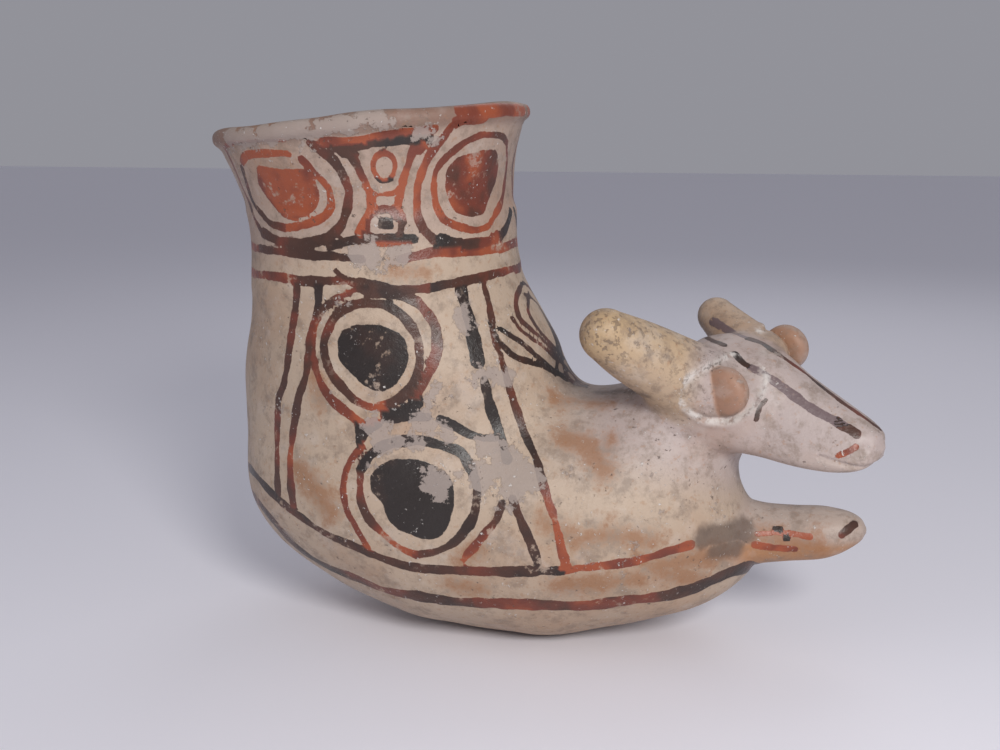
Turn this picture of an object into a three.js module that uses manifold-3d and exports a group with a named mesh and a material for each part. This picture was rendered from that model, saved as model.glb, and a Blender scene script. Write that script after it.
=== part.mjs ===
// A painted pottery pouring vessel in the shape of a lying animal.
// Sizes are in millimetres. +X points towards the animal's head, +Y to its left, +Z up.
// The origin is the middle of the flat patch that the belly rests on.
import * as THREE from "three";
import { mergeVertices } from "three/addons/utils/BufferGeometryUtils.js";
import Module from "manifold-3d";

const wasm = await Module();
wasm.setup();

// Driving dimensions of the vessel
const WALL = 5.5;
const FLOOR_WALL = 7;
const SEAM_GAP = 0.3;
const BELLY_LENGTH = 188;
const BELLY_WIDTH = 100;
const BELLY_HEIGHT = 91;
const BELLY_MIDDLE = -2;
const REST_TRIM = 1.6;
const SHAFT_SET_BACK = 46;
const SHAFT_REACH_BEHIND = 52;
const SHAFT_REACH_AHEAD = 68;
const SHAFT_REACH_BESIDE = 50.5;
const SHAFT_SEAM_ABOVE_BACK = 5;
const WAIST_HEIGHT = 140;
const WAIST_RADIUS = 46.8;
const COLLAR_HEIGHT = 39.4;
const COLLAR_TOP_RADIUS = 54.6;
const COLLAR_LEAN = THREE.MathUtils.degToRad(5.4);
const COLLAR_AHEAD_OF_SHAFT = 1.6;
const RIM_COIL_WIDTH = 7;
const RIM_COIL_HEIGHT = 5.4;
const RIM_COIL_RADIUS = 53.4;

// Driving dimensions of the animal
const NECK_ROOT = new THREE.Vector3(48, 0, 56);
const NECK_ROOT_RADIUS = 33;
const NECK_TOP = new THREE.Vector3(71, -3, 84);
const NECK_TOP_RADIUS = 21;
const HEAD_CENTRE = new THREE.Vector3(91, -6, 91.5);
const HEAD_TURN = THREE.MathUtils.degToRad(-24);
const HEAD_NOD = THREE.MathUtils.degToRad(15);
const HEAD_ROLL = THREE.MathUtils.degToRad(8);
const HEAD_BEHIND_EYES = 30;
const MUZZLE_LENGTH = 46.5;
const HEAD_WIDTH = 40;
const HEAD_HEIGHT = 34;
const HEAD_SIDE_LEAN = 0.42;
const EYE_RADIUS = 8;
const EYE_THICKNESS = 10;
const FORELEG_REACH = 130;
const FORELEG_ROOT = 66;
const FORELEG_HEIGHT = 41;
const FORELEG_TIP_RISE = 4;
const FORELEG_HALF_THICKNESS = 9;
const FORELEG_WIDTH_SHARE = 1.3;
const FORELEG_TO_RIGHT = 1;

// Ears and eyes, placed from the middle of the head: ahead, to the left, up
const RIGHT_EAR = {
  root: new THREE.Vector3(-16, -14.5, 3),
  direction: new THREE.Vector3(-21.3, -28.9, 18.6),
  length: 40.5,
  rootRadius: 13.8,
  tipRadius: 9.2,
};
const LEFT_EAR = {
  root: new THREE.Vector3(-8.2, 13.9, 6.8),
  direction: new THREE.Vector3(-24.5, 9.5, 4.6),
  length: 26.6,
  rootRadius: 10,
  tipRadius: 6.8,
};
const RIGHT_EYE = new THREE.Vector3(-2.8, -20.5, 7.9);
const LEFT_EYE = new THREE.Vector3(-4.3, 23.6, 9.6);

// Belly sections from the heel (0) to the prow (180): shares of its height and half width
const BELLY_SECTIONS = [
  { turn: 0, keel: 0.61, back: 0.62, beside: 0.04 },
  { turn: 20, keel: 0.45, back: 0.77, beside: 0.4 },
  { turn: 40, keel: 0.26, back: 0.92, beside: 0.74 },
  { turn: 60, keel: 0.115, back: 0.99, beside: 0.94 },
  { turn: 80, keel: 0.015, back: 1.0, beside: 1.0 },
  { turn: 100, keel: 0.0, back: 1.0, beside: 0.98 },
  { turn: 120, keel: 0.06, back: 0.99, beside: 0.86 },
  { turn: 140, keel: 0.145, back: 0.88, beside: 0.64 },
  { turn: 160, keel: 0.255, back: 0.62, beside: 0.36 },
  { turn: 180, keel: 0.37, back: 0.38, beside: 0.04 },
];

// Shaft sections by share of the waist height. tuck draws the foot in, shift brings the wall under
// the collar, and the others swell it from the waist's radius to its full reach.
const SHAFT_SECTIONS = [
  { rise: 0.16, tuck: 0.4, behind: 1, ahead: 0.9, beside: 1, shift: 0 },
  { rise: 0.24, tuck: 0.77, behind: 1, ahead: 0.9, beside: 1, shift: 0 },
  { rise: 0.36, tuck: 0.95, behind: 1, ahead: 0.9, beside: 1, shift: 0 },
  { rise: 0.5, tuck: 1, behind: 1, ahead: 0.95, beside: 1, shift: 0 },
  { rise: 0.64, tuck: 1, behind: 0.91, ahead: 1, beside: 1, shift: 0 },
  { rise: 0.73, tuck: 1, behind: 0.72, ahead: 0.9, beside: 0.86, shift: 0.15 },
  { rise: 0.82, tuck: 1, behind: 0.35, ahead: 0.575, beside: 0.57, shift: 0.5 },
  { rise: 0.91, tuck: 1, behind: 0.11, ahead: 0.24, beside: 0.29, shift: 0.85 },
  { rise: 1, tuck: 1, behind: 0, ahead: 0, beside: 0, shift: 1 },
  { rise: 1.07, tuck: 1, behind: 0, ahead: 0, beside: 0, shift: 1 },
];

// Head sections along the head: shares of the half width and of the half height
const HEAD_SECTIONS = [
  { along: -1, beside: 0.25, crown: 0.2, jaw: 0.2 },
  { along: -0.83, beside: 0.7, crown: 0.7, jaw: 0.76 },
  { along: -0.4, beside: 1, crown: 1.03, jaw: 1 },
  { along: 0, beside: 1, crown: 1.03, jaw: 0.97 },
  { along: 0.32, beside: 0.83, crown: 0.79, jaw: 0.82 },
  { along: 0.65, beside: 0.65, crown: 0.59, jaw: 0.65 },
  { along: 0.86, beside: 0.52, crown: 0.44, jaw: 0.47 },
  { along: 0.95, beside: 0.4, crown: 0.32, jaw: 0.32 },
  { along: 1, beside: 0.15, crown: 0.09, jaw: 0.12 },
];

// Foreleg sections from the root (0) to the tip (1): shares of the half thickness and of the rise
const FORELEG_SECTIONS = [
  { along: 0, thick: 1.65, rise: 0 },
  { along: 0.29, thick: 1.38, rise: 0 },
  { along: 0.48, thick: 1.12, rise: 0.08 },
  { along: 0.63, thick: 1.0, rise: 0.25 },
  { along: 0.76, thick: 0.95, rise: 0.5 },
  { along: 0.87, thick: 0.8, rise: 0.75 },
  { along: 0.945, thick: 0.56, rise: 0.95 },
  { along: 0.985, thick: 0.33, rise: 1 },
  { along: 1, thick: 0.12, rise: 1 },
];

// Collar radii by share of its height, from the waist's radius (0) to the top radius (1)
const COLLAR_SECTIONS = [
  { rise: 0, flare: 0 },
  { rise: 0.25, flare: 0.05 },
  { rise: 0.5, flare: 0.23 },
  { rise: 0.75, flare: 0.55 },
  { rise: 1, flare: 1 },
];

// Fineness of the surfaces
const ROUND_STEPS = 36;
const SMALL_STEPS = 22;
const BELLY_STEPS = 22;
const SHAFT_STEPS = 14;
const HEAD_STEPS = 16;
const FORELEG_STEPS = 14;
const COLLAR_STEPS = 7;
const COIL_STEPS = 12;
const CAP_STEPS = 5;
const CUTTER_SIZE = 1000;

// Turns a list of sections into a smooth function of the value named by key.
function smoothSections(sections, key) {
  const names = Object.keys(sections[0]).filter((name) => name !== key);
  const stops = sections.map((section) => section[key]);
  const values = sections.flatMap((section) => names.map((name) => section[name]));
  const curve = new THREE.CubicInterpolant(stops, values, names.length);
  return (at) => {
    const found = curve.evaluate(at);
    return Object.fromEntries(names.map((name, i) => [name, found[i]]));
  };
}

function evenSteps(from, to, count) {
  return Array.from({ length: count + 1 }, (_, i) => from + ((to - from) * i) / count);
}

// Points of a superellipse with half sizes a and b.
function superellipse(a, b, power, steps) {
  const bend = (value) => Math.sign(value) * Math.abs(value) ** (2 / power);
  return Array.from({ length: steps }, (_, i) => {
    const angle = (2 * Math.PI * i) / steps;
    return [a * bend(Math.cos(angle)), b * bend(Math.sin(angle))];
  });
}

function signedVolume(geometry) {
  const at = geometry.attributes.position;
  const index = geometry.index.array;
  const corner = [0, 1, 2].map(() => new THREE.Vector3());
  let volume = 0;
  for (let i = 0; i < index.length; i += 3) {
    corner.forEach((point, k) => point.fromBufferAttribute(at, index[i + k]));
    volume += corner[0].dot(corner[1].clone().cross(corner[2])) / 6;
  }
  return volume;
}

// Leaves only positions, joins equal points and makes the faces point out.
function closedGeometry(source) {
  source.deleteAttribute("normal");
  source.deleteAttribute("uv");
  const geometry = mergeVertices(source, 1e-4);
  if (signedVolume(geometry) < 0) {
    geometry.index.array.reverse();
  }
  return geometry;
}

// A closed skin over a row of rings, with a fan over each end.
function loft(rings) {
  const steps = rings[0].length;
  const points = rings.flat();
  const faces = [];
  for (let ring = 0; ring + 1 < rings.length; ring += 1) {
    for (let i = 0; i < steps; i += 1) {
      const a = ring * steps + i;
      const b = ring * steps + ((i + 1) % steps);
      faces.push(a, b, b + steps, a, b + steps, a + steps);
    }
  }
  for (const [start, turned] of [[0, true], [(rings.length - 1) * steps, false]]) {
    const middle = points.length;
    const centre = new THREE.Vector3();
    rings[start / steps].forEach((point) => centre.addScaledVector(point, 1 / steps));
    points.push(centre);
    for (let i = 0; i < steps; i += 1) {
      const a = start + i;
      const b = start + ((i + 1) % steps);
      faces.push(...(turned ? [middle, b, a] : [middle, a, b]));
    }
  }
  const geometry = new THREE.BufferGeometry().setFromPoints(points);
  geometry.setIndex(faces);
  return closedGeometry(geometry);
}

function solid(geometry) {
  return new wasm.Manifold(
    new wasm.Mesh({
      numProp: 3,
      vertProperties: Float32Array.from(geometry.attributes.position.array),
      triVerts: Uint32Array.from(geometry.index.array),
    }),
  );
}

function geometryOf(manifold) {
  const mesh = manifold.getMesh();
  const geometry = new THREE.BufferGeometry();
  geometry.setAttribute("position", new THREE.BufferAttribute(Float32Array.from(mesh.vertProperties), 3));
  geometry.setIndex(Array.from(mesh.triVerts));
  return geometry;
}

// The belly, grown or shrunk on every side by the given amounts.
function bellySolid(grow, growBelow) {
  const sectionAt = smoothSections(BELLY_SECTIONS, "turn");
  const low = -REST_TRIM - growBelow;
  const high = BELLY_HEIGHT + grow;
  const rings = evenSteps(0, 180, BELLY_STEPS).map((turn) => {
    const share = sectionAt(turn);
    const x = BELLY_MIDDLE - Math.cos(THREE.MathUtils.degToRad(turn)) * (BELLY_LENGTH / 2 + grow);
    const keel = low + (high - low) * share.keel;
    const back = low + (high - low) * Math.max(share.back, share.keel + 0.01);
    const halfWidth = (BELLY_WIDTH / 2 + grow) * Math.max(share.beside, 0.02);
    const outline = superellipse(halfWidth, (back - keel) / 2, 2.05, ROUND_STEPS);
    return outline.map(([y, z]) => new THREE.Vector3(x, y, (keel + back) / 2 + z));
  });
  return solid(loft(rings));
}

// The shaft, from inside the belly to a little above the waist.
function shaftSolid(grow) {
  const sectionAt = smoothSections(SHAFT_SECTIONS, "rise");
  const first = SHAFT_SECTIONS[0].rise;
  const last = SHAFT_SECTIONS[SHAFT_SECTIONS.length - 1].rise;
  const rings = evenSteps(first, last, SHAFT_STEPS).map((rise) => {
    const share = sectionAt(rise);
    const reach = (full, swell) => (WAIST_RADIUS + (full - WAIST_RADIUS) * swell + grow) * share.tuck;
    const behind = reach(SHAFT_REACH_BEHIND, share.behind);
    const ahead = reach(SHAFT_REACH_AHEAD, share.ahead);
    const beside = reach(SHAFT_REACH_BESIDE, share.beside);
    const middle = -SHAFT_SET_BACK + (ahead - behind) / 2 + COLLAR_AHEAD_OF_SHAFT * share.shift;
    const z = rise * WAIST_HEIGHT - grow * (rise === first ? 1 : 0);
    const outline = superellipse((ahead + behind) / 2, beside, 2, ROUND_STEPS);
    return outline.map(([x, y]) => new THREE.Vector3(middle + x, y, z));
  });
  return solid(loft(rings));
}

// The plane of the waist: its place, with +Z of the matrix along the leaning collar.
function waistMatrix() {
  const place = new THREE.Vector3(COLLAR_AHEAD_OF_SHAFT - SHAFT_SET_BACK, 0, WAIST_HEIGHT);
  const lean = new THREE.Matrix4().makeRotationY(-COLLAR_LEAN);
  return lean.setPosition(place);
}

function above(matrix) {
  const box = new THREE.BoxGeometry(CUTTER_SIZE, CUTTER_SIZE, CUTTER_SIZE);
  box.translate(0, 0, CUTTER_SIZE / 2);
  box.applyMatrix4(matrix);
  return solid(closedGeometry(box));
}

function level(height) {
  return new THREE.Matrix4().makeTranslation(0, 0, height);
}

function vesselOutside(grow) {
  return bellySolid(grow, grow).add(shaftSolid(grow));
}

function vesselShell() {
  const hollow = bellySolid(-WALL, -FLOOR_WALL).add(shaftSolid(-WALL));
  const shell = vesselOutside(0).subtract(hollow);
  return shell.subtract(above(waistMatrix())).intersect(above(level(0)));
}

// A ring turned about the leaning collar's axis from a closed outline of radius and height.
function turnedRing(outline, lift) {
  const geometry = new THREE.LatheGeometry(
    [...outline, outline[0]].map(([radius, height]) => new THREE.Vector2(radius, height + lift)),
    ROUND_STEPS,
  );
  geometry.rotateX(Math.PI / 2);
  geometry.applyMatrix4(waistMatrix());
  return closedGeometry(geometry);
}

function collarGeometry() {
  const sectionAt = smoothSections(COLLAR_SECTIONS, "rise");
  const outside = evenSteps(0, 1, COLLAR_STEPS).map((rise) => {
    const radius = WAIST_RADIUS + (COLLAR_TOP_RADIUS - WAIST_RADIUS) * sectionAt(rise).flare;
    return [radius, rise * COLLAR_HEIGHT];
  });
  const inside = outside.map(([radius, height]) => [radius - WALL, height]).reverse();
  return turnedRing([...outside, ...inside], SEAM_GAP);
}

// The lip's coil: round above, flat where it sits on the collar.
function rimCoilGeometry() {
  const seat = SEAM_GAP + COLLAR_HEIGHT + SEAM_GAP;
  const sink = RIM_COIL_HEIGHT / 4;
  const outline = superellipse(RIM_COIL_WIDTH / 2, RIM_COIL_HEIGHT / 2 + sink / 2, 2.2, COIL_STEPS);
  const middle = RIM_COIL_HEIGHT / 2 - sink / 2;
  return turnedRing(
    outline.map(([across, up]) => [RIM_COIL_RADIUS + across, Math.max(middle + up, 0)]),
    seat,
  );
}

// A rounded taper from one ball to another.
function roundTaper(from, to, fromRadius, toRadius) {
  const length = from.distanceTo(to);
  const slope = Math.asin((fromRadius - toRadius) / length);
  const arc = (start, end, radius, lift) =>
    evenSteps(start, end, CAP_STEPS).map(
      (angle) => new THREE.Vector2(radius * Math.cos(angle), lift + radius * Math.sin(angle)),
    );
  const profile = [
    ...arc(-Math.PI / 2, slope, fromRadius, 0),
    ...arc(slope, Math.PI / 2, toRadius, length),
  ];
  profile[0].x = 0;
  profile[profile.length - 1].x = 0;
  const geometry = new THREE.LatheGeometry(profile, SMALL_STEPS);
  const direction = to.clone().sub(from).normalize();
  geometry.applyQuaternion(new THREE.Quaternion().setFromUnitVectors(new THREE.Vector3(0, 1, 0), direction));
  geometry.translate(from.x, from.y, from.z);
  return closedGeometry(geometry);
}

function neckSolid(grow) {
  return solid(roundTaper(NECK_ROOT, NECK_TOP, NECK_ROOT_RADIUS + grow, NECK_TOP_RADIUS + grow));
}

// The head's own frame: X along the muzzle, Y to its left, Z up.
function headMatrix() {
  const turned = new THREE.Matrix4().makeRotationZ(HEAD_TURN);
  turned.multiply(new THREE.Matrix4().makeRotationY(HEAD_NOD));
  turned.multiply(new THREE.Matrix4().makeRotationX(HEAD_ROLL));
  return turned.setPosition(HEAD_CENTRE);
}

function headSolid(grow) {
  const sectionAt = smoothSections(HEAD_SECTIONS, "along");
  const rings = evenSteps(-1, 1, HEAD_STEPS).map((along) => {
    const share = sectionAt(along);
    const x = along * ((along < 0 ? HEAD_BEHIND_EYES : MUZZLE_LENGTH) + grow);
    const crown = (HEAD_HEIGHT / 2) * share.crown + grow;
    const jaw = (HEAD_HEIGHT / 2) * share.jaw + grow;
    const halfWidth = (HEAD_WIDTH / 2) * share.beside + grow;
    const halfHeight = (crown + jaw) / 2;
    const outline = superellipse(halfWidth, halfHeight, 2.6, SMALL_STEPS + 6);
    return outline.map(([y, z]) => {
      const lean = 1 - (HEAD_SIDE_LEAN * z) / halfHeight;
      return new THREE.Vector3(x, y * lean, (crown - jaw) / 2 + z);
    });
  });
  return solid(loft(rings).applyMatrix4(headMatrix()));
}

function forelegsSolid(grow) {
  const sectionAt = smoothSections(FORELEG_SECTIONS, "along");
  const rings = evenSteps(0, 1, FORELEG_STEPS).map((along) => {
    const share = sectionAt(along);
    const x = FORELEG_ROOT + along * (FORELEG_REACH + grow - FORELEG_ROOT);
    const half = FORELEG_HALF_THICKNESS * share.thick + grow;
    const z = FORELEG_HEIGHT + FORELEG_TIP_RISE * share.rise;
    const outline = superellipse(half * FORELEG_WIDTH_SHARE, half, 2.2, SMALL_STEPS);
    return outline.map(([y, up]) => new THREE.Vector3(x, y - FORELEG_TO_RIGHT, z + up));
  });
  return solid(loft(rings));
}

function earSolid(ear) {
  const tip = ear.direction.clone().setLength(ear.length).add(ear.root);
  const matrix = headMatrix();
  const from = ear.root.clone().applyMatrix4(matrix);
  return solid(roundTaper(from, tip.applyMatrix4(matrix), ear.rootRadius, ear.tipRadius));
}

// A pressed pellet, thin across the head.
function eyeSolid(place, grow) {
  const geometry = new THREE.SphereGeometry(EYE_RADIUS + grow, SMALL_STEPS, SMALL_STEPS / 2);
  geometry.scale(1, (EYE_THICKNESS / 2 + grow) / (EYE_RADIUS + grow), 1);
  geometry.translate(place.x, place.y, place.z);
  geometry.applyMatrix4(headMatrix());
  return solid(closedGeometry(geometry));
}

const clay = (color, roughness) => new THREE.MeshStandardMaterial({ color, roughness, metalness: 0 });
const buffSlip = () => clay(0xcbb592, 0.55);
const greySlip = () => clay(0xb9a698, 0.6);
const ochreSlip = () => clay(0xc2995c, 0.6);
const redPaint = () => clay(0x7a2f1c, 0.45);
const brownPaint = () => clay(0x4d2a20, 0.5);

const vessel = new THREE.Group();
vessel.name = "rhyton";

function addPiece(name, geometry, material) {
  const mesh = new THREE.Mesh(geometry, material);
  mesh.name = name;
  vessel.add(mesh);
}

const shell = vesselShell();
const seam = above(level(BELLY_HEIGHT + SHAFT_SEAM_ABOVE_BACK));
const clearOfVessel = vesselOutside(SEAM_GAP);
const clearOfForelegs = forelegsSolid(SEAM_GAP);
const clearOfNeck = neckSolid(SEAM_GAP);
const clearOfHead = headSolid(SEAM_GAP);
const onBody = (piece) => piece.subtract(clearOfVessel).subtract(clearOfNeck);
const onHead = (piece) => onBody(piece).subtract(clearOfHead);
const earPiece = (ear, eye) => onHead(earSolid(ear)).subtract(eyeSolid(eye, SEAM_GAP));

addPiece("lower_body", geometryOf(shell.subtract(seam)), buffSlip());
addPiece("shaft", geometryOf(shell.intersect(seam)), buffSlip());
addPiece("collar", collarGeometry(), redPaint());
addPiece("rim_coil", rimCoilGeometry(), brownPaint());
addPiece("forelegs", geometryOf(forelegsSolid(0).subtract(clearOfVessel)), ochreSlip());
addPiece("neck", geometryOf(neckSolid(0).subtract(clearOfVessel).subtract(clearOfForelegs)), greySlip());
addPiece("head", geometryOf(onBody(headSolid(0))), greySlip());
addPiece("ear_right", geometryOf(earPiece(RIGHT_EAR, RIGHT_EYE)), ochreSlip());
addPiece("ear_left", geometryOf(earPiece(LEFT_EAR, LEFT_EYE)), ochreSlip());
addPiece("eye_right", geometryOf(onHead(eyeSolid(RIGHT_EYE, 0))), redPaint());
addPiece("eye_left", geometryOf(onHead(eyeSolid(LEFT_EYE, 0))), redPaint());

export default vessel;
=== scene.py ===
import math
import bpy
import numpy as np
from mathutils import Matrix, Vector, kdtree


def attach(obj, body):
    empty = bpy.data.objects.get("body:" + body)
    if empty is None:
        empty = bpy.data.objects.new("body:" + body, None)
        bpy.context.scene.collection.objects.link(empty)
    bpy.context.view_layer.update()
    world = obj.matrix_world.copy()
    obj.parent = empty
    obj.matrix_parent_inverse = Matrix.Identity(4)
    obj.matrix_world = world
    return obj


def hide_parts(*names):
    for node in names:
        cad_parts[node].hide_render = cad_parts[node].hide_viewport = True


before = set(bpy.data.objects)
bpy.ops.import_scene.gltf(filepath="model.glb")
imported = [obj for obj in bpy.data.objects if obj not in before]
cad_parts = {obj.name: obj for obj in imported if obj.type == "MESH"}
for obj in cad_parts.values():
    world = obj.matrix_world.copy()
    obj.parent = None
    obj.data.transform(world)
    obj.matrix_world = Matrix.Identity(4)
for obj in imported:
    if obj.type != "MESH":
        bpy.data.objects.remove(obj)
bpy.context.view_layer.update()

MM = 0.001

# The pot is worked out in mm, with X from the shaft's axis. The frame's origin lies this far ahead of it.
SHAFT_SET_BACK = 46.0

# Camera of the photograph: its place in mm, its turn about the upright, its nod, and its lens in mm
CAMERA_AT = np.array([148.4, -416.5, 184.0])
CAMERA_TURN = math.radians(14.0)
CAMERA_NOD = math.radians(11.95)
SENSOR = 36.0
LENS = 43.2
IMAGE = (1000, 750)

# Size of a pixel on the pot in mm, and how many times as wide as measured a stroke is
PIXEL = 0.362
BRUSH = 1.1

# Cell of the grid and its lowest and highest corner, in mm
STEP = 1.3
GRID_LOW = np.array([-63.0, -61.0, -2.6])
GRID_HIGH = np.array([180.0, 61.0, 193.0])

# The pieces, in the order of their labels, each with the name of its slot
SLOTS = {
    "lower_body": "painted_buff_slip",
    "shaft": "painted_buff_slip",
    "collar": "painted_collar_slip",
    "rim_coil": "red_brown_rim",
    "forelegs": "ochre_slip",
    "neck": "grey_buff_slip",
    "head": "grey_buff_slip",
    "ear_right": "ochre_slip",
    "ear_left": "ochre_slip",
    "eye_right": "red_brown_pellet",
    "eye_left": "red_brown_pellet",
}
LABEL = {name: number for number, name in enumerate(SLOTS, start=1)}
AIR = 0

# Small pieces, whose mesh is twice as fine
FINE = {"rim_coil", "head", "ear_right", "ear_left", "eye_right", "eye_left", "forelegs"}

# Sizes of the vessel in mm
WALL = 5.5
COLLAR_BASE = np.array([1.6, 0.0, 140.0])
COLLAR_LEAN = math.radians(5.4)
COLLAR_FOOT = -10
COLLAR_TOP = 44.0
HOLLOW_TOP = 80.0
RIM_RADIUS, RIM_HEIGHT = 53.3, 42.3
RIM_HALF_WIDTH, RIM_HALF_HEIGHT, RIM_POWER = 3.5, 2.9, 2.3
BELLY_HEEL, BELLY_CHEST = -50.0, 138.0
BELLY_THINNEST = 1.5

# Sizes of the animal in mm. The neck and ears are rods: start, end, radius at the start and at the end.
HEAD_AT = np.array([137.0, -6.0, 91.5])
CROWN_NARROWING = 0.42
NECK = ((94, 0, 56), (117, -3, 84), 33, 21)
RIGHT_EAR = ((118, -15, 96), (89, -35, 116), 14.8, 9.2)
LEFT_EAR = ((137, 8, 102), (120.5, 25, 114), 10, 6.8)
LEG_SIDE = -1
LEG_FLATNESS = 1.3
RIGHT_EYE = np.array([127.0, -25.0, 97.0])
LEFT_EYE = np.array([145.5, 15.0, 105.2])
PELLET_RADIUS, PELLET_HALF_THICKNESS = 8.2, 4.3
MOAT_RADIUS, MOAT_WIDTH, MOAT_DEPTH = 8.9, 1.0, 0.9
RIDGE_RADIUS, RIDGE_WIDTH, RIDGE_HEIGHT = 11.2, 1.3, 0.5
MOAT_REACH = 9
NOSTRIL_AT = np.array([42.5, -6.5, 2.0])
NOSTRIL_SIZE = np.array([2.2, 2.2, 2.4])
NOSTRIL_DEPTH = 1.6
MOUTH_LINE_HEIGHT, MOUTH_LINE_WIDTH, MOUTH_LINE_DEPTH = -3.4, 0.8, 0.8
MOUTH_LINE_BACK = 31

# Fillet where each part is luted on, in the order in which they are joined to the shaft, in mm
FILLETS = {
    "collar": 6,
    "hull": 14,
    "neck": 12,
    "forelegs": 7,
    "head": 5,
    "ear_right": 6,
    "ear_left": 6,
    "rim": 2.5,
}
PELLET_FILLET = 0.5

# Swells left by the hand: height, lengths along X, Y and Z, and the share of them felt inside
SWELL_HEIGHT = 0.25
SWELL_LENGTHS = (23, 19, 21)
INNER_SWELLS = 0.3

# Where one piece's clay ends and the next one's starts, in mm
SHAFT_FROM, SHAFT_FRONT = 96, 80
RIM_FROM = 39.6
COLLAR_REACH, COLLAR_FRONT = 70, 60

TINY = 1e-9


# Shape of the vessel as distance fields, below zero inside the clay

def curve(at, stops, values):
    """A smooth curve through a few points that never overshoots them."""
    x = np.asarray(stops, float)
    y = np.asarray(values, float)
    h = np.diff(x)
    d = np.diff(y) / h
    slope = np.zeros_like(y)
    same = d[:-1] * d[1:] > 0
    w1 = 2 * h[1:] + h[:-1]
    w2 = h[1:] + 2 * h[:-1]
    safe = np.where(same, d[:-1], 1), np.where(same, d[1:], 1)
    slope[1:-1] = np.where(same, (w1 + w2) / (w1 / safe[0] + w2 / safe[1]), 0)
    slope[0] = d[0]
    slope[-1] = d[-1]
    at = np.clip(at, x[0], x[-1])
    i = np.clip(np.searchsorted(x, at) - 1, 0, len(h) - 1)
    t = (at - x[i]) / h[i]
    a = (1 + 2 * t) * (1 - t) ** 2 * y[i] + t * (1 - t) ** 2 * h[i] * slope[i]
    return a + t * t * (3 - 2 * t) * y[i + 1] + t * t * (t - 1) * h[i] * slope[i + 1]


def swell(value, middle, width):
    """One at the middle and falling smoothly to nothing on both sides."""
    return np.exp(-(((value - middle) / width) ** 2))


def blend(a, b, k):
    """Union of two fields with a fillet of about k mm."""
    h = np.clip(0.5 + 0.5 * (b - a) / k, 0, 1)
    return b + (a - b) * h - k * h * (1 - h)


def capped(f, over):
    """A field cut off at its ends, where over is the distance past them."""
    return np.where(over > 0, np.sqrt(np.maximum(f, 0) ** 2 + over ** 2), np.maximum(f, over))


def loft(s, a, b, low, high, wide, tall, power):
    """A lofted solid along s with half sizes wide and tall across."""
    r = np.sqrt(a * a + b * b) + TINY
    q = ((np.abs(a) / wide) ** power + (np.abs(b) / tall) ** power) ** (1 / power) + TINY
    return capped(r * (1 - 1 / q), np.maximum(low - s, s - high))


def taper(p, start, end, r0, r1):
    """A rod with round ends whose radius goes from r0 to r1."""
    start = np.asarray(start, float)
    along = np.asarray(end, float) - start
    t = np.clip((p - start) @ along / (along @ along), 0, 1)
    return np.linalg.norm(p - start - t[..., None] * along, axis=-1) - (r0 + (r1 - r0) * t)


def turned(yaw, nod, roll):
    """Columns ahead, left and up of a turned, nodding and rolled head."""
    cy, sy = math.cos(yaw), math.sin(yaw)
    cp, sp = math.cos(nod), math.sin(nod)
    ahead = np.array([cy * cp, sy * cp, -sp])
    left = np.array([-sy, cy, 0.0])
    up = np.cross(ahead, left)
    cr, sr = math.cos(roll), math.sin(roll)
    return np.stack([ahead, left * cr + up * sr, up * cr - left * sr], axis=1)


HEAD_AXES = turned(math.radians(-24), math.radians(15), math.radians(8))


def shaft_field(p):
    """The upright wall, by its reach to the back, the front and the side at a few heights."""
    z = p[..., 2]
    stops = [22, 34, 50, 70, 90, 102, 115, 128, 143, 152]
    back = curve(z, stops, [20, 40, 49.5, 52, 51.5, 50.5, 48.5, 47.2, 46.2, 46.2])
    front = curve(z, stops, [30, 50, 60, 66, 68, 66, 59.5, 52.6, 48, 47.5])
    side = curve(z, stops, [20, 38, 47, 50.5, 50.5, 50, 49, 48, 47, 46.8])
    ahead = p[..., 0] - (front - back) / 2
    return loft(z, ahead, p[..., 1], stops[0], stops[-1], (front + back) / 2, side, power=2.0)


def collar_place(p):
    """Height above the waist along the leaning axis, and distance from that axis."""
    d = p - COLLAR_BASE
    s, c = math.sin(COLLAR_LEAN), math.cos(COLLAR_LEAN)
    height = d[..., 2] * c - d[..., 0] * s
    across = d[..., 0] * c + d[..., 2] * s
    return height, np.sqrt(across ** 2 + d[..., 1] ** 2)


def by_collar(p, out):
    """Near the vessel's own axis, so clear of the head and the ears."""
    return (out < COLLAR_REACH) & (p[..., 0] < COLLAR_FRONT)


def collar_field(p, top):
    """The flared neck of the vessel, filled in."""
    height, out = collar_place(p)
    stops = [COLLAR_FOOT, 0, 10, 20, 30, 38, 43, 47]
    f = out - curve(height, stops, [46.6, 46.8, 47.2, 48.6, 51.2, 54.0, 54.8, 55.2])
    return capped(f, np.maximum(COLLAR_FOOT - height, height - top))


def rim_field(p):
    """The coil that thickens the lip."""
    height, out = collar_place(p)
    a = np.abs(out - RIM_RADIUS) / RIM_HALF_WIDTH
    b = np.abs(height - RIM_HEIGHT) / RIM_HALF_HEIGHT
    q = (a ** RIM_POWER + b ** RIM_POWER) ** (1 / RIM_POWER) + TINY
    return np.sqrt((out - RIM_RADIUS) ** 2 + (height - RIM_HEIGHT) ** 2) * (1 - 1 / q)


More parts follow.
